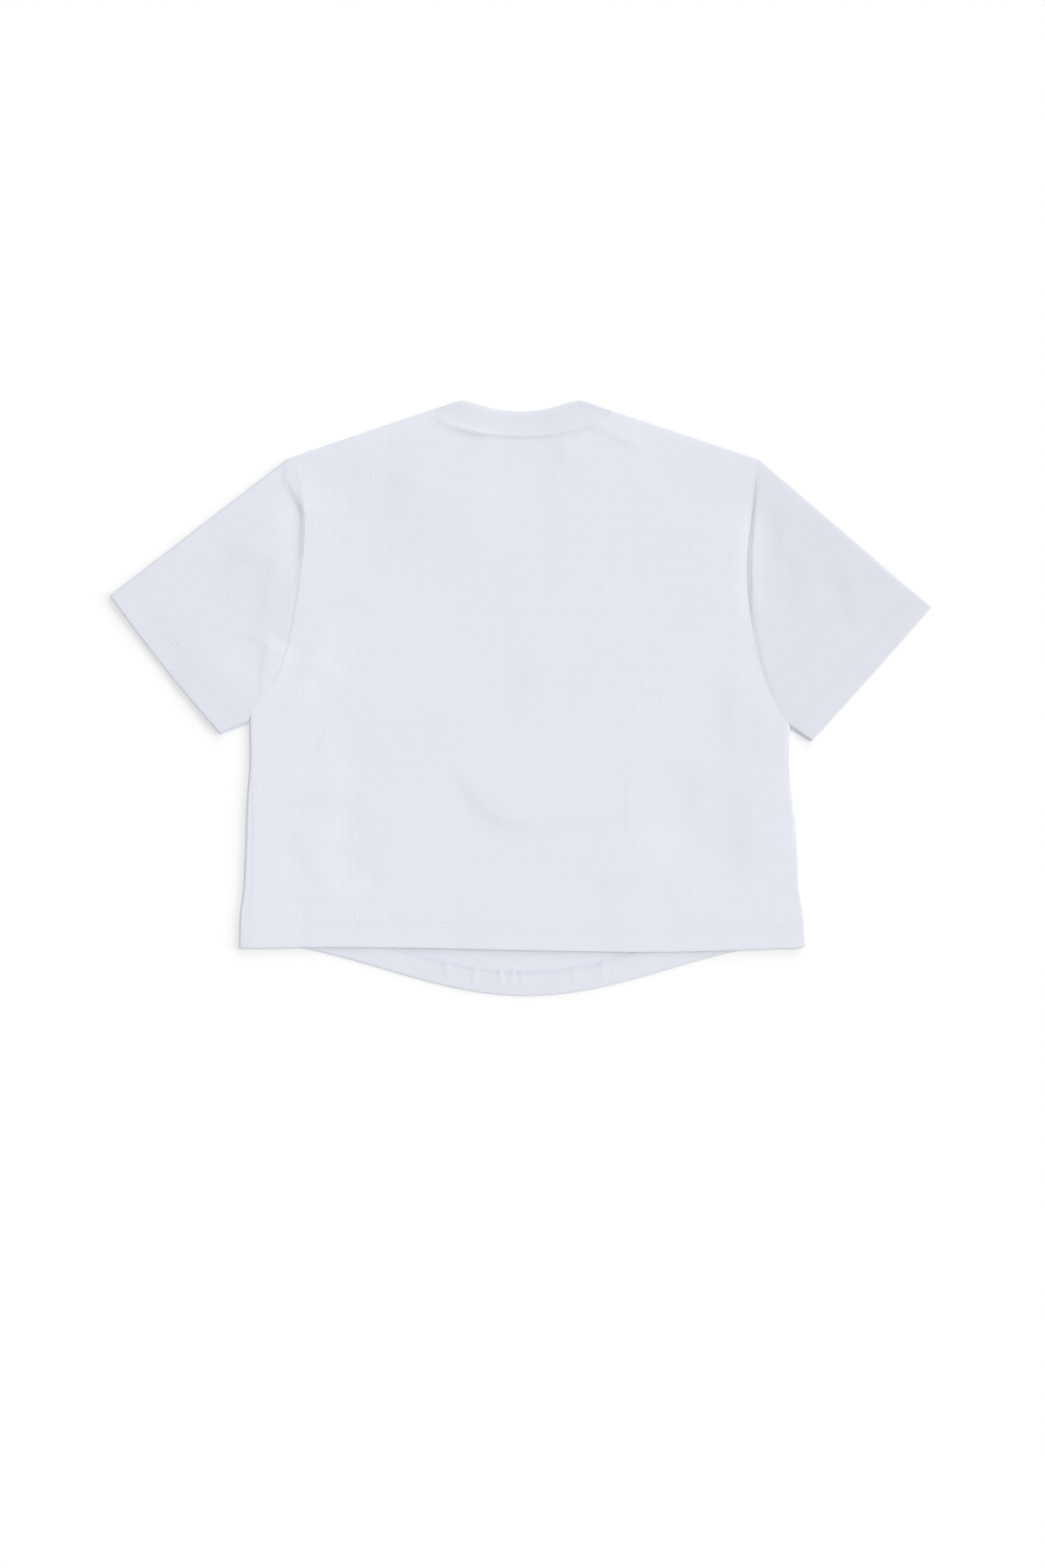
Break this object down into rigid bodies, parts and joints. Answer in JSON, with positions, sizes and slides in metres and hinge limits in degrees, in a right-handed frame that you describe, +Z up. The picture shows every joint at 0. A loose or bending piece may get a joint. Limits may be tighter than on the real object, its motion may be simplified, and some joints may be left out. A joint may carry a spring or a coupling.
{
  "type": "t-shirt",
  "caption": "Cropped boxy crew-neck t-shirt of heavy white cotton jersey, laid flat back up, with short set-in sleeves and a front hem that dips below the back's.",
  "frame": {"origin": "centre of the shirt's bounding box, on the surface it lies on", "axes": "+Y from the hem to the neck, +Z up off the surface, through the back of the shirt, and +X towards the sleeve that is on the right when the neck is at the top"},
  "size_m": [0.809, 0.5871, 0.0064],
  "materials": {
    "jersey": "matte cotton jersey",
    "rib": "matte cotton rib"
  },
  "bodies": {
    "root": {"back": "jersey", "front": "jersey", "sleeve_left": "jersey", "sleeve_right": "jersey", "collar": "rib"}
  },
  "joints": []
}
